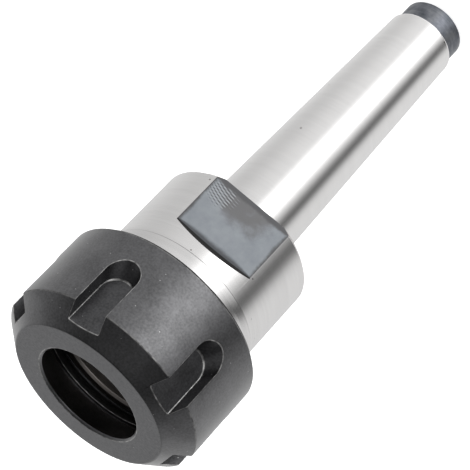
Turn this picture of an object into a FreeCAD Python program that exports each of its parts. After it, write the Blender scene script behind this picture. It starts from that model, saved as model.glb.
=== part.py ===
"""Collet chuck holder: a Morse taper 2 chuck body and its clamping nut.

The tool axis is +Z. The tail end of the shank stands on z = 0 and the nut is at the top.
The wrench flats of the collar face -Y and +Y. All sizes are in millimetres.
"""
import FreeCAD, Part
import math
import os

# ---- Chuck body: Morse taper 2 shank --------------------------------------------------
shank_length = 69.0            # tail end to the rear face of the collar
gauge_diameter = 17.78         # diameter at the gauge line of the taper
gauge_offset = 5.0             # gauge line to the rear face of the collar
taper_per_mm = 0.04995         # growth of the diameter along the shank
tail_diameter = 13.4           # turned end behind the ground taper
tail_length = 5.2
tail_chamfer = 0.3
taper_end_chamfer = 0.3        # broken edge where the ground taper ends
collar_fillet = 0.8            # corner between shank and collar

# ---- Chuck body: drawbar thread in the tail -------------------------------------------
drawbar_drill_diameter = 8.5   # M10 thread, kept as its tapping drill
drawbar_thread_length = 24.0
drawbar_mouth_diameter = 10.8  # wide end of the centring cone
centre_cone_angle = 60.0       # included
drill_point_angle = 118.0      # included

# ---- Chuck body: collar with wrench flats ---------------------------------------------
collar_diameter = 32.7
collar_length = 17.8
collar_rear_chamfer = 0.75
collar_front_chamfer = 0.3
across_flats = 28.0
flat_length = 15.1             # rear face of the collar to the crown of the milled arc
face_mill_diameter = 35.0      # leaves the arc at the front end of each flat

# ---- Chuck body: threaded nose --------------------------------------------------------
thread_diameter = 32.0         # major diameter of the M32 x 1.5 nose thread
thread_pitch = 1.5
thread_length = 9.2
thread_relief_width = 1.6
thread_relief_depth = 1.1
nose_chamfer = 1.0
pilot_length = 6.6             # plain land between collar and thread relief

# ---- Chuck body: collet seat ----------------------------------------------------------
collet_diameter = 26.0         # seat diameter at the nose face
seat_half_angle = 8.0
seat_length = 26.0
seat_chamfer = 0.45
tool_bore_diameter = 16.5      # room for the tool shank behind the collet
tool_bore_length = 4.0

# ---- Clamping nut ---------------------------------------------------------------------
nut_wall = 5.0                 # thread major diameter to the outside
nut_angle = -8.5               # first spanner slot from +X, in degrees
nut_gap = 1.5                  # nose face to the lip, with the nut screwed home
skirt_overlap = 1.8            # how far the nut reaches over the pilot
nut_front_chamfer = 4.1        # its length along the axis
nut_rear_chamfer = 0.7
mouth_diameter = 21.4
mouth_chamfer = 0.4
mouth_land = 0.2
face_width = 5.4               # flat ring round the mouth
nut_seat_half_angle = 30.0
nut_seat_length = 5.25
lip_groove_width = 0.6
lip_groove_depth = 1.0
lip_width = 1.2
lip_height = 0.85              # extractor lip above its groove, in the middle of its range
lip_offset = 0.5               # eccentricity of the lip
recess_run = 0.4               # thread run-out past the nose face

# ---- Clamping nut: spanner slots ------------------------------------------------------
slot_count = 6
slot_width = 6.6
slot_length = 13.55            # nut face to the end of the slot floor
slot_runout = 2.5              # how far the end wall leans back up to the outside
slot_floor_wall = 2.0          # thread major diameter to the slot floor

# ---- Fits -----------------------------------------------------------------------------
running_clearance = 0.05       # radial, between the thread flanks kept as plain walls
skirt_clearance = 0.3          # radial, nut skirt over the pilot
crest_allowance = 0.1          # share of the pitch by which thread crests are cut back

# ---- Radii and stations worked out from the sizes above -------------------------------
collar_rear = shank_length
collar_front = collar_rear + collar_length
pilot_front = collar_front + pilot_length
thread_rear = pilot_front + thread_relief_width
nose_face = thread_rear + thread_length

collar_radius = collar_diameter / 2
pilot_radius = thread_diameter / 2
nose_thread_radius = pilot_radius - crest_allowance * thread_pitch
relief_radius = pilot_radius - thread_relief_depth
nut_thread_radius = nose_thread_radius + running_clearance
skirt_radius = pilot_radius + skirt_clearance
nut_radius = pilot_radius + nut_wall
slot_floor = pilot_radius + slot_floor_wall

mouth_radius = mouth_diameter / 2
nut_seat_radius = mouth_radius + nut_seat_length * math.tan(math.radians(nut_seat_half_angle))
lip_groove_radius = nut_seat_radius + lip_groove_depth
lip_radius = lip_groove_radius - lip_height + lip_offset / 2
lip_rear = nose_face + nut_gap
lip_front = lip_rear + lip_width
nut_seat_rear = lip_front + lip_groove_width
nut_seat_front = nut_seat_rear + nut_seat_length
mouth_chamfer_rear = nut_seat_front + mouth_land
nut_face = mouth_chamfer_rear + mouth_chamfer
nut_rear = pilot_front - skirt_overlap

ORIGIN = FreeCAD.Vector(0, 0, 0)
AXIS = FreeCAD.Vector(0, 0, 1)


def shank_radius(z):
    """Radius of the ground Morse taper at height z above the tail end."""
    above_gauge = z - (shank_length - gauge_offset)
    return (gauge_diameter + above_gauge * taper_per_mm) / 2


def turned(profile):
    """Solid of revolution about the tool axis, from (radius, height) points and ready-made edges."""
    edges = []
    last = None
    for item in profile + [profile[0]]:
        ready = isinstance(item, Part.Edge)
        start = item.Vertexes[0].Point if ready else FreeCAD.Vector(item[0], 0, item[1])
        if last is not None and not last.isEqual(start, 1e-7):
            edges.append(Part.makeLine(last, start))
        last = start
        if ready:
            edges.append(item)
            last = item.Vertexes[-1].Point
    face = Part.Face(Part.Wire(edges))
    return face.revolve(ORIGIN, AXIS, 360)


def cone_length(radius, included_angle):
    """Axial length of a full cone of this base radius."""
    return radius / math.tan(math.radians(included_angle / 2))


def inside_corner(radius, height, fillet):
    """Arc from a wall that comes up at this radius to the face that goes out at this height."""
    centre_r = radius + fillet
    centre_z = height - fillet
    reach = fillet * math.cos(math.radians(45))
    wall_end = FreeCAD.Vector(radius, 0, centre_z)
    middle = FreeCAD.Vector(centre_r - reach, 0, centre_z + reach)
    face_end = FreeCAD.Vector(centre_r, 0, height)
    return Part.Arc(wall_end, middle, face_end).toShape()


def body_blank():
    """Outside of the chuck body, from the tail end up to the nose face."""
    tail_radius = tail_diameter / 2
    taper_start = tail_length + taper_end_chamfer
    taper_end = collar_rear - collar_fillet
    return turned([
        (0, 0),
        (tail_radius - tail_chamfer, 0),
        (tail_radius, tail_chamfer),
        (tail_radius, tail_length),
        (shank_radius(taper_start) - taper_end_chamfer, tail_length),
        (shank_radius(taper_start), taper_start),
        inside_corner(shank_radius(taper_end), collar_rear, collar_fillet),
        (collar_radius - collar_rear_chamfer, collar_rear),
        (collar_radius, collar_rear + collar_rear_chamfer),
        (collar_radius, collar_front - collar_front_chamfer),
        (collar_radius - collar_front_chamfer, collar_front),
        (pilot_radius, collar_front),
        (pilot_radius, pilot_front),
        (relief_radius, pilot_front),
        (relief_radius, thread_rear),
        (nose_thread_radius, thread_rear),
        (nose_thread_radius, nose_face - nose_chamfer),
        (nose_thread_radius - nose_chamfer, nose_face),
        (0, nose_face),
    ])


def collet_cavity():
    """Tapered seat for the collet, open at the nose, with the tool bore behind it."""
    slope = math.tan(math.radians(seat_half_angle))
    seat_mouth = collet_diameter / 2
    seat_end = nose_face - seat_length
    seat_end_radius = seat_mouth - seat_length * slope
    bore_radius = tool_bore_diameter / 2
    bore_end = seat_end - tool_bore_length
    return turned([
        (0, nose_face),
        (seat_mouth + seat_chamfer, nose_face),
        (seat_mouth - seat_chamfer * slope, nose_face - seat_chamfer),
        (seat_end_radius, seat_end),
        (bore_radius, seat_end),
        (bore_radius, bore_end),
        (0, bore_end - cone_length(bore_radius, drill_point_angle)),
    ])


def drawbar_hole():
    """Threaded hole in the tail with its centring cone."""
    drill_radius = drawbar_drill_diameter / 2
    mouth = drawbar_mouth_diameter / 2
    cone_end = cone_length(mouth - drill_radius, centre_cone_angle)
    thread_end = cone_end + drawbar_thread_length
    return turned([
        (0, 0),
        (mouth, 0),
        (drill_radius, cone_end),
        (drill_radius, thread_end),
        (0, thread_end + cone_length(drill_radius, drill_point_angle)),
    ])


def flat_cut(side):
    """What the face mill takes off one side of the collar; side is -1 or +1 along Y."""
    mill_radius = face_mill_diameter / 2
    start = FreeCAD.Vector(0, side * across_flats / 2, collar_rear + flat_length - mill_radius)
    return Part.makeCylinder(mill_radius, collar_radius, start, FreeCAD.Vector(0, side, 0))


def chuck_body():
    """One turned, milled and ground piece: shank, collar and threaded nose."""
    cuts = [collet_cavity(), drawbar_hole(), flat_cut(-1), flat_cut(1)]
    return body_blank().cut(cuts)


def nut_blank():
    """Outside of the nut, solid to the axis."""
    face_radius = mouth_radius + mouth_chamfer + face_width
    return turned([
        (0, nut_rear),
        (nut_radius - nut_rear_chamfer, nut_rear),
        (nut_radius, nut_rear + nut_rear_chamfer),
        (nut_radius, nut_face - nut_front_chamfer),
        (face_radius, nut_face),
        (0, nut_face),
    ])


def nut_bore():
    """Skirt, thread, recess, lip groove, collet seat and mouth of the nut."""
    thread_front = nose_face - recess_run
    thread_end = pilot_front + thread_relief_width / 2
    return turned([
        (0, nut_rear),
        (skirt_radius, nut_rear),
        (skirt_radius, thread_end),
        (nut_thread_radius, thread_end),
        (nut_thread_radius, thread_front),
        (skirt_radius, thread_front),
        (skirt_radius, lip_rear),
        (nut_seat_radius - lip_groove_depth, lip_rear),
        (nut_seat_radius - lip_groove_depth, lip_front),
        (lip_groove_radius, lip_front),
        (lip_groove_radius, nut_seat_rear),
        (nut_seat_radius, nut_seat_rear),
        (mouth_radius, nut_seat_front),
        (mouth_radius, mouth_chamfer_rear),
        (mouth_radius + mouth_chamfer, nut_face),
        (0, nut_face),
    ])


def lip_bore():
    """Eccentric bore that leaves the extractor lip high on the +Y side and low on the -Y side."""
    start = FreeCAD.Vector(0, -lip_offset, lip_rear - nut_gap / 2)
    length = nut_gap / 2 + lip_width + lip_groove_width / 2
    return Part.makeCylinder(lip_radius, length, start, AXIS)


def slot_cut(angle):
    """U-shaped spanner slot: flat floor, open at the nut face, end wall leaning back."""
    half = slot_width / 2
    end_centre = nut_face - slot_length + half
    over = nut_front_chamfer + slot_runout
    left_open = FreeCAD.Vector(slot_floor, -half, nut_face + over)
    left_end = FreeCAD.Vector(slot_floor, -half, end_centre)
    bottom = FreeCAD.Vector(slot_floor, 0, end_centre - half)
    right_end = FreeCAD.Vector(slot_floor, half, end_centre)
    right_open = FreeCAD.Vector(slot_floor, half, nut_face + over)
    outline = Part.Wire([
        Part.makeLine(left_open, left_end),
        Part.Arc(left_end, bottom, right_end).toShape(),
        Part.makeLine(right_end, right_open),
        Part.makeLine(right_open, left_open),
    ])
    depth = nut_radius - slot_floor
    cut = Part.Face(outline).extrude(FreeCAD.Vector(depth, 0, -slot_runout))
    cut.rotate(ORIGIN, AXIS, angle)
    return cut


def clamping_nut():
    """One piece: slotted ring with thread, extractor lip and collet seat."""
    cuts = [nut_bore(), lip_bore()]
    for index in range(slot_count):
        cuts.append(slot_cut(nut_angle + index * 360 / slot_count))
    return nut_blank().cut(cuts)


def export(name, shape):
    """Write one piece to its own file and say what it is."""
    shape.exportStep("parts/" + name + ".step")
    print(name, "valid", shape.isValid(), "solids", len(shape.Solids), "volume", round(shape.Volume, 1))


os.makedirs("parts", exist_ok=True)
export("chuck_body", chuck_body())
export("clamping_nut", clamping_nut())
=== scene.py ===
"""Looks of the collet chuck holder: ground steel body, blackened slotted nut, studio light.

Sizes are in millimetres and become metres when a mesh is made. The tool axis is +Z and the
tail end stands on the floor.
"""

import math

import bmesh
import bpy
from mathutils import Matrix, Vector


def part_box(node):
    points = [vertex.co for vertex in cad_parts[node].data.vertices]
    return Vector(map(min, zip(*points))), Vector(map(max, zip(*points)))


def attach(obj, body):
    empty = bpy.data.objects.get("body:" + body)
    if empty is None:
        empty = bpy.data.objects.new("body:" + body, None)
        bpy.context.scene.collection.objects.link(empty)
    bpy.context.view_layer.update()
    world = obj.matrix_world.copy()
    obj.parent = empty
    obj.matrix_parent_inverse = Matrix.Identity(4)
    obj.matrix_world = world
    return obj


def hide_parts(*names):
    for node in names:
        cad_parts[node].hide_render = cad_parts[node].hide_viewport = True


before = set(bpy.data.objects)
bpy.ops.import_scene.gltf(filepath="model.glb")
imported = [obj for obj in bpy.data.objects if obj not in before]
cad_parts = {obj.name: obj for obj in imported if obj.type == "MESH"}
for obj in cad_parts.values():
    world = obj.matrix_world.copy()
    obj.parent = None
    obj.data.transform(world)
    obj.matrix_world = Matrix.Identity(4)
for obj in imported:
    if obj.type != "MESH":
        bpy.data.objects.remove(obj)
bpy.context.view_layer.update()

MM = 0.001
COLUMNS = 192                  # divisions of a full turn
ARC_STEPS = 4                  # divisions of a rounded corner
EDGE = 0.12                    # broken edge of a machined corner
MILL_FEED = 0.62               # spacing of the milling arcs
FLAT_AREA = 50e-6              # a single face larger than this, in square metres, is flat

# ---- Reach of the two pieces, from the frame -------------------------------------------
body_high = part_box("chuck_body")[1] / MM
nut_low, nut_high = (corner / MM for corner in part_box("clamping_nut"))
nose_face = body_high.z
nut_rear = nut_low.z
nut_face = nut_high.z
nut_radius = nut_high.x

# ---- Chuck body ------------------------------------------------------------------------
tail_radius = 6.7
tail_length = 5.2
tail_chamfer = 0.3
taper_end_chamfer = 0.3
taper_per_mm = 0.04995
gauge_radius = 8.89
gauge_height = 64.0
collar_rear = 69.0
collar_front = 86.8
collar_radius = 16.35
collar_fillet = 0.8
collar_rear_chamfer = 0.75
step_edge = 0.12               # sharp start of the step to the pilot
step_length = 1.2              # length of its gentle slope
pilot_radius = 16.0
pilot_front = 93.4
relief_radius = 14.9
thread_rear = 95.0
nose_thread_radius = 15.85
nose_chamfer = 1.0
flat_distance = 14.0           # axis to each wrench flat
flat_crown = 84.1              # highest point of the milled arc
face_mill_radius = 17.5

seat_radius = 13.0
seat_slope = math.tan(math.radians(8))
seat_length = 26.0
seat_chamfer = 0.45
tool_bore_radius = 8.25
tool_bore_length = 4.0
drill_slope = math.tan(math.radians(59))

drawbar_radius = 4.25
drawbar_mouth_radius = 5.4
drawbar_cone_end = 1.99
drawbar_thread_length = 24.0

# ---- Threads ---------------------------------------------------------------------------
pitch = 1.5
thread_depth = 0.81
# share of the pitch, share of the depth: crest, flank, root, flank, with rounded corners
thread_form = [(0.01, 0.0), (0.115, 0.0), (0.15, 0.06), (0.415, 0.94),
               (0.455, 1.0), (0.67, 1.0), (0.71, 0.94), (0.975, 0.06)]

# ---- Clamping nut ----------------------------------------------------------------------
front_chamfer = 4.1
rear_chamfer = 0.7
face_radius = 16.5
mouth_radius = 10.7
mouth_chamfer = 0.4
mouth_land = 0.2
nut_seat_radius = 13.73
nut_seat_length = 5.25
lip_rear = 105.7
lip_front = 106.9
lip_radius = 14.13
lip_offset = 0.5
lip_groove_radius = 14.73
nut_thread_radius = 15.9
nut_thread_rear = 94.2
nut_thread_front = 103.8
skirt_radius = 16.3
nut_angle = -8.5
slot_count = 6
slot_half_width = 3.3
slot_floor = 18.0
slot_length = 13.55
slot_runout = 2.5


# ======================= Mesh helpers ====================================================
def corner_arc(before, corner, after, size):
    """Points that round one corner of a profile, size being what it takes off each side."""
    corner = Vector(corner)
    start = corner + (Vector(before) - corner).normalized() * size
    end = corner + (Vector(after) - corner).normalized() * size
    points = []
    for step in range(ARC_STEPS + 1):
        t = step / ARC_STEPS
        points.append(tuple(start * (1 - t) ** 2 + corner * (2 * t * (1 - t)) + end * t ** 2))
    return points


def rounded(profile):
    """Profile of (radius, height, edge) corners as plain points, with the inner corners rounded."""
    points = [profile[0][:2]]
    for before, corner, after in zip(profile, profile[1:], profile[2:]):
        if corner[2]:
            points += corner_arc(before[:2], corner[:2], after[:2], corner[2])
        else:
            points.append(corner[:2])
    points.append(profile[-1][:2])
    return points


def add_ring(bm, radius, height):
    """Ring of vertices; radius is a number or a function of the share of a turn."""
    ring = []
    for column in range(COLUMNS):
        share = column / COLUMNS
        angle = share * math.tau
        r = radius(share) if callable(radius) else radius
        ring.append(bm.verts.new((r * math.cos(angle), r * math.sin(angle), height)))
    return ring


def turn(bm, profile, slot=0):
    """Turned wall through (radius, height) points, wound so that material lies on its right."""
    last = None
    for radius, height in profile:
        ring = add_ring(bm, radius, height)
        if last:
            for i in range(COLUMNS):
                j = (i + 1) % COLUMNS
                face = bm.faces.new((last[i], last[j], ring[j], ring[i]))
                face.material_index = slot
        last = ring


def mark(bm, corner, reach, slot):
    """Give the faces within reach of one corner of a turned profile another material slot."""
    for face in bm.faces:
        centre = face.calc_center_median()
        away = math.hypot(math.hypot(centre.x, centre.y) - corner[0], centre.z - corner[1])
        if away < reach:
            face.material_index = slot


def form_depth(phase):
    """Depth of the thread form, from 0 at the crest to 1 at the root."""
    phase %= 1
    before = (thread_form[-1][0] - 1, thread_form[-1][1])
    for after in thread_form + [(thread_form[0][0] + 1, thread_form[0][1])]:
        if phase <= after[0]:
            t = (phase - before[0]) / (after[0] - before[0])
            return before[1] + (after[1] - before[1]) * t
        before = after
    return 0.0


def helix(bm, start, end, radius_at, slot=0):
    """Right-hand thread between two heights; radius_at(share of a turn, height) is its wall."""
    rows = []
    turns = math.ceil((end - start) / pitch) + 1
    for lap in range(-1, turns):
        rows += [lap + phase for phase, _ in thread_form]
    last = None
    for column in range(COLUMNS + 1):
        share = column / COLUMNS
        angle = share * math.tau
        line = []
        for row in rows:
            height = min(max(start + pitch * (row + share), start), end)
            r = radius_at(share, height)
            line.append(bm.verts.new((r * math.cos(angle), r * math.sin(angle), height)))
        if last:
            for k in range(len(rows) - 1):
                face = bm.faces.new((last[k], line[k], line[k + 1], last[k + 1]))
                face.material_index = slot
        last = line


def finished(bm, name, materials):
    """Object from a mesh in millimetres, with coincident points merged and faces turned outward."""
    bmesh.ops.remove_doubles(bm, verts=bm.verts, dist=1e-4)
    bmesh.ops.recalc_face_normals(bm, faces=bm.faces)
    bmesh.ops.scale(bm, vec=(MM, MM, MM), verts=bm.verts)
    mesh = bpy.data.meshes.new(name)
    bm.to_mesh(mesh)
    bm.free()
    for material in materials:
        mesh.materials.append(material)
    piece = bpy.data.objects.new(name, mesh)
    bpy.context.scene.collection.objects.link(piece)
    return piece


def baked(piece):
    """Put the result of the piece's modifiers in its mesh."""
    result = piece.evaluated_get(bpy.context.evaluated_depsgraph_get())
    mesh = bpy.data.meshes.new_from_object(result)
    piece.modifiers.clear()
    piece.data = mesh
    return piece


def carve(piece, cutters):
    """Cut the cutters out of the piece and delete them."""
    for cutter in cutters:
        cut = piece.modifiers.new(cutter.name, "BOOLEAN")
        cut.operation = "DIFFERENCE"
        cut.solver = "EXACT"
        cut.object = cutter
    baked(piece)
    for cutter in cutters:
        bpy.data.objects.remove(cutter)


def break_cut_edges(piece, size, cut_slots, edge_slot):
    """Round the sharp edges that the cutters left, where a cut face meets a turned one."""
    bm = bmesh.new()
    bm.from_mesh(piece.data)
    bmesh.ops.remove_doubles(bm, verts=bm.verts, dist=1e-6)
    edges = []
    for edge in bm.edges:
        cuts = [face for face in edge.link_faces if face.material_index in cut_slots]
        if len(cuts) == 1 and edge.calc_face_angle(0) > math.radians(20):
            edges.append(edge)
    bmesh.ops.bevel(bm, geom=edges, offset=size * MM, offset_type="OFFSET", segments=2,
                    profile=0.6, affect="EDGES", clamp_overlap=False, loop_slide=True,
                    material=edge_slot)
    bmesh.ops.remove_doubles(bm, verts=bm.verts, dist=1e-7)
    bm.to_mesh(piece.data)
    bm.free()


def smooth(piece):
    """Smooth shading that keeps flat faces flat beside their rounded edges."""
    for face in piece.data.polygons:
        face.use_smooth = face.area < FLAT_AREA
    bm = bmesh.new()
    bm.from_mesh(piece.data)
    for edge in bm.edges:
        edge.smooth = edge.calc_face_angle(0) < math.radians(35)
    bm.to_mesh(piece.data)
    bm.free()
    weigh = piece.modifiers.new("weigh", "WEIGHTED_NORMAL")
    weigh.keep_sharp = True
    weigh.weight = 80
    baked(piece)


# ======================= Material helpers ================================================
class Nodes:
    """Short ways to add and link the nodes of one material."""

    def __init__(self, name):
        self.material = bpy.data.materials.new(name)
        self.material.use_nodes = True
        self.tree = self.material.node_tree
        self.shader = self.tree.nodes["Principled BSDF"]
        self.place = self.add("ShaderNodeTexCoord").outputs["Object"]

    def add(self, kind, **settings):
        node = self.tree.nodes.new(kind)
        for key, value in settings.items():
            setattr(node, key, value)
        return node

    def link(self, source, target):
        if hasattr(source, "links"):
            self.tree.links.new(source, target)
        else:
            target.default_value = source

    def math(self, operation, a, b=0.0, clamp=False):
        node = self.add("ShaderNodeMath", operation=operation, use_clamp=clamp)
        self.link(a, node.inputs[0])
        self.link(b, node.inputs[1])
        return node.outputs[0]

    def stretched(self, scale):
        """Object coordinates scaled by three factors."""
        node = self.add("ShaderNodeVectorMath", operation="MULTIPLY")
        self.link(self.place, node.inputs[0])
        node.inputs[1].default_value = scale
        return node.outputs[0]

    def noise(self, vector, scale, detail=2.0, roughness=0.5):
        node = self.add("ShaderNodeTexNoise")
        self.link(vector, node.inputs["Vector"])
        node.inputs["Scale"].default_value = scale
        node.inputs["Detail"].default_value = detail
        node.inputs["Roughness"].default_value = roughness
        return node.outputs["Fac"]

    def ramp(self, factor, stops):
        """Colour ramp from (place, gray or colour) stops."""
        node = self.add("ShaderNodeValToRGB")
        self.link(factor, node.inputs[0])
        elements = node.color_ramp.elements
        while len(elements) < len(stops):
            elements.new(0.5)
        for element, (place, value) in zip(elements, stops):
            element.position = place
            colour = value if isinstance(value, tuple) else (value, value, value)
            element.color = (*colour, 1)
        return node.outputs["Color"]

    def mix(self, factor, a, b):
        """Blend of two colours; either may be a colour socket or three numbers."""
        node = self.add("ShaderNodeMix", data_type="RGBA")
        self.link(factor, node.inputs["Factor"])
        for value, socket in ((a, node.inputs[6]), (b, node.inputs[7])):
            self.link((*value, 1) if isinstance(value, tuple) else value, socket)
        return node.outputs[2]

    def sum(self, *terms):
        """Weighted sum of (weight, socket) terms."""
        total = 0.0
        for weight, socket in terms:
            total = self.math("ADD", total, self.math("MULTIPLY", socket, weight))
        return total

    def between(self, value, low, high):
        """0 below low, 1 above high, smooth between."""
        node = self.add("ShaderNodeMapRange", interpolation_type="SMOOTHSTEP")
        self.link(value, node.inputs["Value"])
        node.inputs["From Min"].default_value = low
        node.inputs["From Max"].default_value = high
        return node.outputs[0]

    def specks(self, per_metre, size, share):
        """Scattered round spots, size in cells across; share of the cells that have one."""
        node = self.add("ShaderNodeTexVoronoi")
        self.link(self.place, node.inputs["Vector"])
        node.inputs["Scale"].default_value = per_metre
        split = self.add("ShaderNodeSeparateColor")
        self.link(node.outputs["Color"], split.inputs[0])
        near = self.math("LESS_THAN", node.outputs["Distance"], size / 2)
        chosen = self.math("LESS_THAN", split.outputs[0], share)
        return self.math("MULTIPLY", near, chosen)

    def axes(self):
        """Object coordinates one by one, in millimetres."""
        split = self.add("ShaderNodeSeparateXYZ")
        self.link(self.stretched((1 / MM, 1 / MM, 1 / MM)), split.inputs[0])
        return split.outputs

    def length(self, x, y):
        squares = self.math("ADD", self.math("MULTIPLY", x, x), self.math("MULTIPLY", y, y))
        return self.math("SQRT", squares)

    def bump(self, height, distance, strength=1.0, after=None):
        node = self.add("ShaderNodeBump")
        self.link(height, node.inputs["Height"])
        node.inputs["Distance"].default_value = distance * MM
        node.inputs["Strength"].default_value = strength
        if after:
            self.link(after, node.inputs["Normal"])
        return node.outputs["Normal"]

    def surface(self, **values):
        """Set or link the shader's sockets, named with _ for a space."""
        for key, value in values.items():
            socket = self.shader.inputs[key.replace("_", " ")]
            self.link((*value, 1) if isinstance(value, tuple) else value, socket)
        return self.material

    def around_axis(self):
        """Tangent that runs round the tool axis, as turned and ground surfaces have."""
        tangent = self.add("ShaderNodeTangent", direction_type="RADIAL", axis="Z")
        self.link(tangent.outputs[0], self.shader.inputs["Tangent"])


def ground_steel():
    """Bright ground steel: fine lines run round the axis, with a pit here and there."""
    n = Nodes("ground_steel")
    fine = n.noise(n.stretched((40, 40, 9000)), 1.0, detail=3)
    broad = n.noise(n.stretched((25, 25, 900)), 1.0, detail=2)
    lines = n.sum((0.6, fine), (0.4, broad))
    colour = n.ramp(lines, [(0.3, (0.86, 0.85, 0.845)), (0.7, (0.93, 0.92, 0.915))])
    pits = n.specks(450, 0.2, 0.12)
    n.around_axis()
    return n.surface(Base_Color=n.mix(pits, colour, (0.42, 0.40, 0.39)), Metallic=1.0,
                     Roughness=0.25, Anisotropic=0.6, Anisotropic_Rotation=0.25,
                     Normal=n.bump(lines, 0.0015))


def milled_flat():
    """Wrench flat: milled in arcs, then hardened and left stained, with painted shade along its border."""
    n = Nodes("milled_flat")
    grain = n.noise(n.stretched((1500, 1500, 1500)), 1.0, detail=3)
    cloud = n.noise(n.stretched((330, 330, 330)), 1.0, detail=5, roughness=0.6)
    wide = n.noise(n.stretched((110, 110, 110)), 1.0, detail=3)
    x, _, z = n.axes()
    half_width = math.sqrt(collar_radius ** 2 - flat_distance ** 2)

    # arcs left by the leading and the trailing side of the cutter
    arc = n.math("SQRT", n.math("SUBTRACT", face_mill_radius ** 2, n.math("MULTIPLY", x, x)))
    leading = n.math("SINE", n.math("MULTIPLY", n.math("SUBTRACT", z, arc), math.tau / MILL_FEED))
    trailing = n.math("SINE", n.math("MULTIPLY", n.math("ADD", z, arc), math.tau / MILL_FEED))
    corner = n.length(n.math("SUBTRACT", x, half_width - 3.0), n.math("SUBTRACT", z, collar_rear + 2.8))
    marked = n.math("SUBTRACT", 1.0, n.between(corner, 1.2, 4.6))
    marked = n.math("MAXIMUM", marked, 0.12)
    arcs = n.math("MULTIPLY", n.sum((0.75, leading), (0.25, trailing)), marked)

    # stain in the middle of the rear half
    from_stain = n.length(n.math("MULTIPLY", n.math("SUBTRACT", x, 1.0), 0.8),
                          n.math("SUBTRACT", z, collar_rear + 1.5))
    from_stain = n.sum((1.0, from_stain), (7.0, cloud), (5.0, wide))
    clear = n.between(from_stain, 8.2, 12.2)
    light = n.ramp(cloud, [(0.3, (0.285, 0.31, 0.34)), (0.7, (0.36, 0.385, 0.415))])
    colour = n.mix(clear, (0.20, 0.20, 0.205), light)
    colour = n.mix(n.between(arcs, 0.2, 0.7), colour, (0.50, 0.52, 0.54))
    colour = n.mix(n.between(n.math("MULTIPLY", arcs, -1.0), 0.2, 0.7), colour, (0.13, 0.13, 0.14))

    # painted shadow of the step wall in a bow along the milled arc, with a thin black line in it, and a thin
    # painted dark border on the other sides
    wobble = n.sum((1.3, cloud), (0.7, grain), (1.0, -1.0))
    share = n.math("MULTIPLY", x, 1 / half_width)
    bow = n.math("SUBTRACT", 1.1, n.math("MULTIPLY", share, share))
    from_arc = n.math("SUBTRACT", face_mill_radius,
                      n.length(x, n.math("SUBTRACT", z, flat_crown - face_mill_radius)))
    in_shadow_bow = n.math("DIVIDE", from_arc, n.math("MULTIPLY", bow, 3.1))
    from_side = n.math("SUBTRACT", half_width, n.math("ABSOLUTE", x))
    from_rear = n.math("SUBTRACT", z, collar_rear + collar_rear_chamfer)
    from_shaded_rim = n.sum((1.0, n.math("MINIMUM", from_side, from_rear)), (0.7, wobble))
    # painted shade: dark border along the sides and rear edge, then the bow of painted shadow and its black
    # line
    colour = n.mix(n.between(from_shaded_rim, 0.05, 0.75), (0.13, 0.13, 0.135), colour)
    colour = n.mix(n.between(n.sum((1.0, in_shadow_bow), (0.14, wobble)), 0.70, 1.05), (0.10, 0.105, 0.115), colour)
    colour = n.mix(n.between(in_shadow_bow, 0.58, 0.65), (0.01, 0.01, 0.01), colour)
    return n.surface(Base_Color=colour, Metallic=0.45, Roughness=0.4,
                     Normal=n.bump(n.sum((1.0, cloud), (0.12, arcs)), 0.02))


def tail_scale():
    """Unground tail end with its gray hardening scale, turned and blotchy."""
    n = Nodes("tail_scale")
    stain = n.noise(n.stretched((350, 350, 350)), 1.0, detail=5)
    lines = n.noise(n.stretched((60, 60, 2500)), 1.0, detail=2)
    both = n.sum((0.75, stain), (0.25, lines))
    colour = n.ramp(both, [(0.36, (0.10, 0.11, 0.125)), (0.5, (0.18, 0.19, 0.215)),
                           (0.64, (0.29, 0.30, 0.32))])
    return n.surface(Base_Color=colour, Metallic=1.0, Roughness=0.42, Normal=n.bump(both, 0.02))


def dark_steel():
    """Unpolished steel of the nose and the collet cavity, brown with oil and darkened further as painted
    shade.
    """
    n = Nodes("dark_steel")
    lines = n.noise(n.stretched((60, 60, 4000)), 1.0, detail=2)
    cloud = n.noise(n.stretched((300, 300, 300)), 1.0, detail=3)
    both = n.sum((0.5, lines), (0.5, cloud))
    colour = n.ramp(both, [(0.35, (0.30, 0.275, 0.255)), (0.65, (0.46, 0.43, 0.41))])
    return n.surface(Base_Color=colour, Metallic=1.0, Roughness=0.4, Normal=n.bump(both, 0.006))


def black_oxide(name, shade=1.0, roughness=0.38, coat=1.0):
    """Blackened steel with a fine grain, some clouding and a few bright specks."""
    n = Nodes(name)
    grain = n.noise(n.stretched((2500, 2500, 2500)), 1.0, detail=3)
    cloud = n.noise(n.stretched((250, 250, 250)), 1.0, detail=3)
    dark, light = 0.083 * shade, 0.16 * shade
    colour = n.ramp(n.sum((0.6, grain), (0.4, cloud)),
                    [(0.35, (dark, dark, dark * 1.04)), (0.65, (light, light, light * 1.04))])
    colour = n.mix(n.specks(1000, 0.2, 0.12), colour, (0.5, 0.5, 0.5))
    return n.surface(Base_Color=colour, Metallic=1.0, Roughness=roughness, Coat_Weight=coat,
                     Coat_Roughness=0.3, Normal=n.bump(grain, 0.012))


def lit_turned_oxide():
    """Face of the nut: blackened over fine turned rings, its colour lighter than the other blackened faces
    as painted light.
    """
    n = Nodes("lit_turned_oxide")
    x, y, _ = n.axes()
    ring = n.add("ShaderNodeCombineXYZ")
    n.link(n.length(x, y), ring.inputs["X"])
    rings = n.noise(ring.outputs[0], 9.0, detail=2)
    grain = n.noise(n.stretched((2500, 2500, 2500)), 1.0, detail=3)
    both = n.sum((0.4, rings), (0.6, grain))
    # colours lighter than black_oxide's, as painted light on the face
    colour = n.ramp(both, [(0.35, (0.16, 0.16, 0.167)), (0.65, (0.25, 0.25, 0.258))])
    colour = n.mix(n.specks(1000, 0.2, 0.08), colour, (0.5, 0.5, 0.5))
    return n.surface(Base_Color=colour, Metallic=1.0, Roughness=0.4, Coat_Weight=0.3,
                     Coat_Roughness=0.3, Normal=n.bump(both, 0.008))


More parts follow.
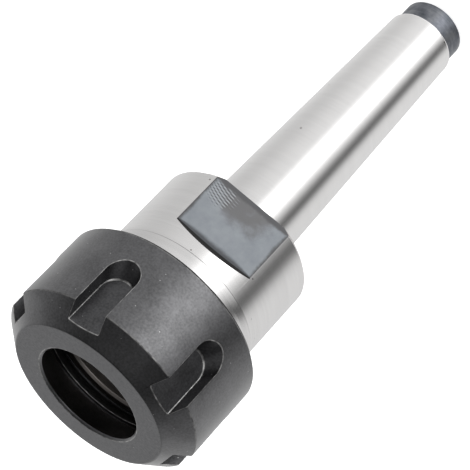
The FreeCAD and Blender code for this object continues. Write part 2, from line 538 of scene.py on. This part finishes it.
def worn_oxide(name, dark, light):
    """Edges where the black has rubbed off."""
    n = Nodes(name)
    grain = n.noise(n.stretched((900, 900, 900)), 1.0, detail=2)
    colour = n.ramp(grain, [(0.35, (dark, dark, dark)), (0.65, (light, light * 0.99, light * 0.98))])
    return n.surface(Base_Color=colour, Metallic=1.0, Roughness=0.35)


# ======================= Chuck body ======================================================
DARK = 3                       # material slot of the nose, the cavity and the rear chamfer, painted dark as shade


def shank_radius(height):
    return gauge_radius + (height - gauge_height) * taper_per_mm / 2


def drawbar_wall(share, height):
    """Hole in the tail: thread that fades out at its end, inside the centring cone."""
    thread_end = drawbar_cone_end + drawbar_thread_length
    fade = min(max((thread_end - height) / pitch, 0), 1)
    depth = form_depth(height / pitch - share) * thread_depth * fade
    cone = drawbar_mouth_radius - height * (drawbar_mouth_radius - drawbar_radius) / drawbar_cone_end
    return max(drawbar_radius + depth, cone)


def nose_wall(share, height):
    """Nose thread, cut back by the chamfer at the nose face."""
    depth = form_depth(height / pitch - share) * thread_depth
    return min(nose_thread_radius - depth, nose_thread_radius - nose_chamfer + nose_face - height)


def flat_cutter(side, materials):
    """Face mill at one side of the collar; side is -1 or +1 along Y."""
    bm = bmesh.new()
    centre = flat_crown - face_mill_radius
    place = Matrix.Translation((0, side * (flat_distance + collar_radius / 2), centre))
    place @= Matrix.Rotation(math.radians(90), 4, "X")
    bmesh.ops.create_cone(bm, cap_ends=True, segments=COLUMNS * 2, radius1=face_mill_radius,
                          radius2=face_mill_radius, depth=collar_radius, matrix=place)
    for face in bm.faces:
        face.material_index = 1
    return finished(bm, "flat_cutter", materials)


def make_body():
    materials = [ground_steel(), milled_flat(), tail_scale(), dark_steel()]
    bm = bmesh.new()
    thread_end = drawbar_cone_end + drawbar_thread_length
    turn(bm, [(0, thread_end + drawbar_radius / drill_slope), (drawbar_radius, thread_end)])
    helix(bm, 0, thread_end, drawbar_wall)
    taper_start = tail_length + taper_end_chamfer
    turn(bm, rounded([
        (drawbar_mouth_radius, 0, 0),
        (tail_radius - tail_chamfer, 0, EDGE),
        (tail_radius, tail_chamfer, EDGE),
        (tail_radius, tail_length, EDGE),
        (shank_radius(taper_start) - taper_end_chamfer, tail_length, 0),
    ]), slot=2)
    turn(bm, rounded([
        (shank_radius(taper_start) - taper_end_chamfer, tail_length, 0),
        (shank_radius(taper_start), taper_start, EDGE * 2),
        (shank_radius(collar_rear), collar_rear, collar_fillet),
        (collar_radius - collar_rear_chamfer, collar_rear, EDGE),
        (collar_radius, collar_rear + collar_rear_chamfer, EDGE),
        (collar_radius, collar_front - step_edge, EDGE / 2),
        (collar_radius - step_edge, collar_front, 0),
        (pilot_radius, collar_front + step_length, EDGE),
        (pilot_radius, pilot_front, EDGE),
        (relief_radius, pilot_front, EDGE),
        (relief_radius, thread_rear, 0),
        (lambda share: nose_wall(share, thread_rear), thread_rear, 0),
    ]))
    chamfer_middle = collar_rear_chamfer / 2
    # the collar's rear chamfer painted dark as shade
    mark(bm, (collar_radius - chamfer_middle, collar_rear + chamfer_middle), chamfer_middle, DARK)
    helix(bm, thread_rear, nose_face, nose_wall, slot=DARK)
    seat_end = nose_face - seat_length
    bore_end = seat_end - tool_bore_length
    turn(bm, rounded([
        (nose_thread_radius - nose_chamfer, nose_face, 0),
        (seat_radius + seat_chamfer, nose_face, EDGE),
        (seat_radius - seat_chamfer * seat_slope, nose_face - seat_chamfer, EDGE),
        (seat_radius - seat_length * seat_slope, seat_end, EDGE),
        (tool_bore_radius, seat_end, EDGE),
        (tool_bore_radius, bore_end, EDGE),
        (0, bore_end - tool_bore_radius / drill_slope, 0),
    ]), slot=DARK)
    body = finished(bm, "body_skin", materials)
    carve(body, [flat_cutter(-1, materials), flat_cutter(1, materials)])
    break_cut_edges(body, 0.07, (1,), 1)
    smooth(body)
    return body


# ======================= Clamping nut ====================================================
CUT, WORN_FILLET, WORN_CORNER, FACE, REAR_SHADE, RUBBED = range(1, 7)    # material slots after the first
SLOT_FILLET = 0.2              # round between the floor and the walls of a slot


def nut_thread_wall(share, height):
    """Thread in the nut, fading out at both ends."""
    fade = min((height - nut_thread_rear) / pitch, (nut_thread_front - height) / pitch, 1)
    return nut_thread_radius + form_depth(height / pitch - share) * thread_depth * max(fade, 0)


def slot_outline(inset, level):
    """U of one spanner slot at a distance from the axis, open past the nut face."""
    half = slot_half_width - inset
    lean = slot_runout * (level - slot_floor) / (nut_radius - slot_floor)
    centre = nut_face - slot_length + slot_half_width - lean
    open_end = nut_face + front_chamfer
    points = [Vector((level, -half, open_end))]
    steps = 28
    for step in range(steps + 1):
        angle = math.pi * step / steps
        points.append(Vector((level, -half * math.cos(angle), centre - half * math.sin(angle))))
    points.append(Vector((level, half, open_end)))
    return points


def slot_cutter(index, materials):
    """Cutter of one spanner slot, with a small round between its floor and walls."""
    bm = bmesh.new()
    levels = [(SLOT_FILLET, slot_floor), (SLOT_FILLET * 0.3, slot_floor + SLOT_FILLET * 0.3),
              (0.0, slot_floor + SLOT_FILLET), (0.0, nut_radius + 0.6)]
    rings = []
    for inset, level in levels:
        rings.append([bm.verts.new(point) for point in slot_outline(inset, level)])
    for inner, outer, slot in zip(rings, rings[1:], (WORN_FILLET, WORN_FILLET, CUT)):
        count = len(inner)
        for i in range(count):
            j = (i + 1) % count
            bm.faces.new((inner[i], inner[j], outer[j], outer[i])).material_index = slot
    bm.faces.new(rings[0]).material_index = CUT
    bm.faces.new(rings[-1]).material_index = CUT
    turned = Matrix.Rotation(math.radians(nut_angle + 360 * index / slot_count), 3, "Z")
    bmesh.ops.rotate(bm, verts=bm.verts, cent=(0, 0, 0), matrix=turned)
    return finished(bm, "slot_cutter", materials)


def make_nut():
    materials = [
        black_oxide("black_oxide"),
        black_oxide("black_oxide_slot", shade=0.8, roughness=0.45, coat=0.2),
        worn_oxide("worn_fillet", dark=0.12, light=0.38),
        worn_oxide("worn_corner", dark=0.2, light=0.6),
        lit_turned_oxide(),
        # rear face and chamfer: a much darker copy of the oxide, as painted shade between the nut and the
        # collar
        black_oxide("black_oxide_rear_shade", shade=0.3, roughness=0.7, coat=0.0),
        worn_oxide("rubbed_oxide", dark=0.09, light=0.24),
    ]
    bm = bmesh.new()
    face_inner = mouth_radius + mouth_chamfer
    seat_front = nut_face - mouth_chamfer - mouth_land
    seat_rear = seat_front - nut_seat_length
    rear_edge = nut_rear + rear_chamfer
    front_edge = nut_face - front_chamfer
    # rear face, skirt and rear chamfer take the painted shade
    turn(bm, [
        (nut_thread_radius, nut_thread_rear),
        (skirt_radius, nut_thread_rear),
        (skirt_radius, nut_rear),
        (nut_radius - rear_chamfer, nut_rear),
        (nut_radius - EDGE, rear_edge - EDGE),
    ], slot=REAR_SHADE)
    turn(bm, rounded([
        (nut_radius - EDGE, rear_edge - EDGE, 0),
        (nut_radius, rear_edge, EDGE),
        (nut_radius, front_edge, EDGE * 2),
        (face_radius, nut_face, EDGE * 2),
        (face_inner, nut_face, EDGE),
        (mouth_radius, nut_face - mouth_chamfer, EDGE / 2),
        (mouth_radius, seat_front, EDGE / 2),
        (nut_seat_radius, seat_rear, EDGE),
        (lip_groove_radius, seat_rear, 0),
        (lip_groove_radius, lip_front, 0),
    ]))
    for face in bm.faces:
        if min(vertex.co.z for vertex in face.verts) > nut_face - 1e-4:
            face.material_index = FACE
    mark(bm, (nut_radius, rear_edge), EDGE, RUBBED)
    mark(bm, (nut_radius, front_edge), EDGE, RUBBED)
    mark(bm, (face_inner, nut_face), EDGE, WORN_CORNER)
    mark(bm, (nut_seat_radius, seat_rear), EDGE, WORN_CORNER)
    lip = rounded([
        (lip_groove_radius, lip_front, 0),
        (lip_radius, lip_front, EDGE),
        (lip_radius, lip_rear, EDGE),
        (skirt_radius, lip_rear, 0),
    ])
    lip_start = len(bm.verts)
    turn(bm, lip)
    mark(bm, (lip_radius, lip_front), EDGE, WORN_CORNER)
    bm.verts.ensure_lookup_table()
    for vertex in bm.verts[lip_start + COLUMNS:len(bm.verts) - COLUMNS]:
        vertex.co.y -= lip_offset
    turn(bm, [
        (skirt_radius, lip_rear),
        (skirt_radius, nut_thread_front),
        (nut_thread_radius, nut_thread_front),
    ])
    helix(bm, nut_thread_rear, nut_thread_front, nut_thread_wall)
    nut = finished(bm, "nut_skin", materials)
    carve(nut, [slot_cutter(index, materials) for index in range(slot_count)])
    break_cut_edges(nut, EDGE, (CUT, WORN_FILLET), WORN_CORNER)
    smooth(nut)
    return nut


# ======================= Studio ==========================================================
CAMERA_AZIMUTH = -96.7         # direction from the tool axis to the camera, from +X
CAMERA_PLACE = (-0.03677, -0.31221, 0.25362)
CAMERA_ANGLES = (-51.0289, 36.2460, -161.2385)
CAMERA_LENS = 148.25
LAMP_AZIMUTH = CAMERA_AZIMUTH + 160
LAMP_REACH = 0.6               # from the tool axis
LAMP_HEIGHT = 1.0              # above what it is aimed at
LAMP_SIZE = 0.9
LAMP_POWER = 11
AIM_HEIGHT = 0.05
FLOOR_SIZE = 3
FLOOR_GLOW = 0.8               # what the floor adds where the camera sees it
LOBE_PEAK = 3.5                # brightest level round the horizon
FLOOR_PEAK = 1.5               # brightest level from the floor up to overhead


def make_world():
    """Plain studio surround, lit round the horizon and dim overhead."""
    world = bpy.data.worlds.new("studio")
    bpy.context.scene.world = world
    world.use_nodes = True
    tree = world.node_tree
    add = tree.nodes.new
    background = tree.nodes["Background"]
    place = add("ShaderNodeTexCoord")
    split = add("ShaderNodeSeparateXYZ")
    tree.links.new(place.outputs["Generated"], split.inputs[0])

    def math_node(operation, a, b=0.0):
        node = add("ShaderNodeMath")
        node.operation = operation
        for value, socket in ((a, node.inputs[0]), (b, node.inputs[1])):
            if hasattr(value, "links"):
                tree.links.new(value, socket)
            else:
                socket.default_value = value
        return node.outputs[0]

    def ramp(factor, stops, low, high, peak):
        """Gray ramp over a range of values; stops are (value, level) and come out as level / peak."""
        spread = add("ShaderNodeMapRange")
        tree.links.new(factor, spread.inputs["Value"])
        spread.inputs["From Min"].default_value = low
        spread.inputs["From Max"].default_value = high
        node = add("ShaderNodeValToRGB")
        node.color_ramp.interpolation = "B_SPLINE"
        tree.links.new(spread.outputs[0], node.inputs[0])
        elements = node.color_ramp.elements
        while len(elements) < len(stops):
            elements.new(0.5)
        for element, (value, level) in zip(elements, stops):
            element.position = (value - low) / (high - low)
            gray = level / peak
            element.color = (gray, gray, gray, 1)
        return node.outputs["Color"]

    turned = math_node("ARCTAN2", split.outputs["Y"], split.outputs["X"])
    degrees = math_node("MULTIPLY", turned, 180 / math.pi)
    shifted = math_node("SUBTRACT", degrees, CAMERA_AZIMUTH)
    wrapped = math_node("WRAP", shifted, 180.0)
    wrapped.node.inputs[2].default_value = -180.0
    around = ramp(wrapped, [(-180, 0.80), (-150, 0.79), (-110, 0.80), (-86, 0.79), (-73, 0.08),
                            (-60, 0.08), (-48, 0.56), (-31, 1.1), (-16, 3.1), (0, 2.2), (14, 0.92),
                            (28, 0.84), (44, 0.82), (66, 0.72), (95, 0.61), (125, 0.72),
                            (155, 0.85), (180, 0.80)], -180, 180, LOBE_PEAK)
    height = ramp(split.outputs["Z"], [(-1, 1.5), (-0.88, 1.4), (-0.76, 1.1), (-0.66, 1.0), (-0.58, 1.0),
                                       (-0.5, 0.86), (-0.4, 0.83), (-0.2, 0.84), (0.1, 0.87),
                                       (0.3, 0.8), (0.5, 0.6), (0.7, 0.25), (0.85, 0.1), (1, 0.05)],
                  -1, 1, FLOOR_PEAK)
    background.inputs["Strength"].default_value = LOBE_PEAK * FLOOR_PEAK
    mix = add("ShaderNodeMix")
    mix.data_type = "RGBA"
    mix.blend_type = "MULTIPLY"
    mix.inputs["Factor"].default_value = 1.0
    tree.links.new(around, mix.inputs[6])
    tree.links.new(height, mix.inputs[7])
    tree.links.new(mix.outputs[2], background.inputs["Color"])

    white = add("ShaderNodeBackground")
    path = add("ShaderNodeLightPath")
    choose = add("ShaderNodeMixShader")
    tree.links.new(path.outputs["Is Camera Ray"], choose.inputs[0])
    tree.links.new(background.outputs[0], choose.inputs[1])
    tree.links.new(white.outputs[0], choose.inputs[2])
    white.inputs["Color"].default_value = (1, 1, 1, 1)
    tree.links.new(choose.outputs[0], tree.nodes["World Output"].inputs["Surface"])


def make_floor():
    """Plain pale floor, white where the camera sees it, that keeps a faint shadow."""
    bm = bmesh.new()
    bmesh.ops.create_grid(bm, x_segments=1, y_segments=1, size=FLOOR_SIZE)
    mesh = bpy.data.meshes.new("floor")
    bm.to_mesh(mesh)
    bm.free()
    floor = bpy.data.objects.new("floor", mesh)
    bpy.context.scene.collection.objects.link(floor)
    floor.visible_glossy = False
    material = bpy.data.materials.new("floor_paper")
    material.use_nodes = True
    tree = material.node_tree
    shader = tree.nodes["Principled BSDF"]
    shader.inputs["Base Color"].default_value = (0.8, 0.8, 0.8, 1)
    shader.inputs["Roughness"].default_value = 1.0
    shader.inputs["Specular IOR Level"].default_value = 0.0
    path = tree.nodes.new("ShaderNodeLightPath")
    glow = tree.nodes.new("ShaderNodeMath")
    glow.operation = "MULTIPLY"
    glow.inputs[1].default_value = FLOOR_GLOW
    tree.links.new(path.outputs["Is Camera Ray"], glow.inputs[0])
    shader.inputs["Emission Color"].default_value = (1, 1, 1, 1)
    tree.links.new(glow.outputs[0], shader.inputs["Emission Strength"])
    mesh.materials.append(material)


def make_lamp():
    """Large soft lamp behind and above, for the floor and the dull surfaces."""
    data = bpy.data.lights.new("softbox", "AREA")
    data.shape = "SQUARE"
    data.size = LAMP_SIZE
    data.energy = LAMP_POWER
    lamp = bpy.data.objects.new("softbox", data)
    bpy.context.scene.collection.objects.link(lamp)
    azimuth = math.radians(LAMP_AZIMUTH)
    away = Vector((math.cos(azimuth) * LAMP_REACH, math.sin(azimuth) * LAMP_REACH, LAMP_HEIGHT))
    aim = Vector((0, 0, AIM_HEIGHT))
    lamp.location = aim + away
    lamp.rotation_euler = (lamp.location - aim).to_track_quat("Z", "Y").to_euler()
    lamp.visible_glossy = False


def make_camera():
    data = bpy.data.cameras.new("camera")
    data.lens = CAMERA_LENS
    data.sensor_width = 36
    data.clip_start = 0.01
    camera = bpy.data.objects.new("camera", data)
    bpy.context.scene.collection.objects.link(camera)
    camera.location = CAMERA_PLACE
    camera.rotation_euler = [math.radians(angle) for angle in CAMERA_ANGLES]
    bpy.context.scene.camera = camera


body = make_body()
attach(body, "chuck_body")
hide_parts("chuck_body")

nut = make_nut()
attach(nut, "clamping_nut")
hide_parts("clamping_nut")

make_world()
make_floor()
make_lamp()
make_camera()
bpy.context.scene.view_settings.view_transform = "Standard"
